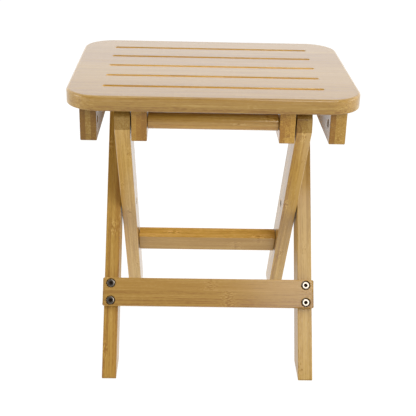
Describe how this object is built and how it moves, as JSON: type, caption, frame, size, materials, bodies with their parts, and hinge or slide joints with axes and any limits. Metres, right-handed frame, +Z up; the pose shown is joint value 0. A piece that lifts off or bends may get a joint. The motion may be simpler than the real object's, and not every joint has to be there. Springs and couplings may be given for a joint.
{
  "type": "folding bamboo stool",
  "caption": "Low folding stool of laminated bamboo: a slotted seat with rounded corners on crossed legs that fold flat.",
  "frame": {"origin": "on the floor, at the centre of the open stool's footprint box", "axes": "+X to the stool's right, +Y from front to back, +Z up"},
  "size_m": [0.324, 0.2782, 0.3468],
  "materials": {
    "bamboo_seat": "satin lacquer over laminated bamboo strips that run across the seat",
    "bamboo_cleat": "satin lacquered laminated bamboo",
    "bamboo_leg": "satin lacquered laminated bamboo, strips along the leg",
    "bamboo_rail": "satin lacquered laminated bamboo, strips along the rail",
    "bamboo_dowel": "turned and lacquered bamboo rod",
    "steel": "dark nickel plated",
    "nylon": "matte"
  },
  "bodies": {
    "inner_frame": {"inner_leg_left": "bamboo_leg", "inner_leg_right": "bamboo_leg", "back_rail": "bamboo_rail", "back_rail_screw_left_lower": "steel", "back_rail_screw_left_upper": "steel", "back_rail_screw_right_lower": "steel", "back_rail_screw_right_upper": "steel"},
    "seat": {"seat_board": "bamboo_seat", "inner_cleat_left": "bamboo_cleat", "inner_cleat_right": "bamboo_cleat", "outer_cleat_left": "bamboo_cleat", "outer_cleat_right": "bamboo_cleat", "inner_cleat_screw_left_front": "steel", "inner_cleat_screw_left_rear": "steel", "inner_cleat_screw_right_front": "steel", "inner_cleat_screw_right_rear": "steel", "outer_cleat_screw_left_front": "steel", "outer_cleat_screw_left_rear": "steel", "outer_cleat_screw_right_front": "steel", "outer_cleat_screw_right_rear": "steel", "front_dowel": "bamboo_dowel", "latch_bar": "bamboo_dowel", "seat_pivot_bolt_left": "steel", "seat_pivot_bolt_right": "steel", "seat_pivot_washer_left": "nylon", "seat_pivot_washer_right": "nylon"},
    "outer_frame": {"outer_leg_left": "bamboo_leg", "outer_leg_right": "bamboo_leg", "front_rail": "bamboo_rail", "front_rail_bolt_left_lower": "steel", "front_rail_bolt_left_upper": "steel", "front_rail_bolt_right_lower": "steel", "front_rail_bolt_right_upper": "steel", "threaded_insert_left_lower": "steel", "threaded_insert_left_upper": "steel", "threaded_insert_right_lower": "steel", "threaded_insert_right_upper": "steel", "cross_bolt_left": "steel", "cross_bolt_right": "steel", "cross_nut_left": "steel", "cross_nut_right": "steel", "cross_washer_left": "nylon", "cross_washer_right": "nylon"}
  },
  "joints": [
    {"name": "seat_pivot", "type": "hinge", "parent": "inner_frame", "child": "seat", "pos_m": [0, -0.09309, 0.3118], "axis": [1, 0, 0], "range_deg": [0, 123.5]},
    {"name": "cross_pivot", "type": "hinge", "parent": "inner_frame", "child": "outer_frame", "pos_m": [0, -0.0006, 0.1746], "axis": [1, 0, 0], "range_deg": [0, 67]}
  ],
  "couplings": [
    {"joint": "cross_pivot", "follows": "seat_pivot", "ratio": 0.54243}
  ]
}
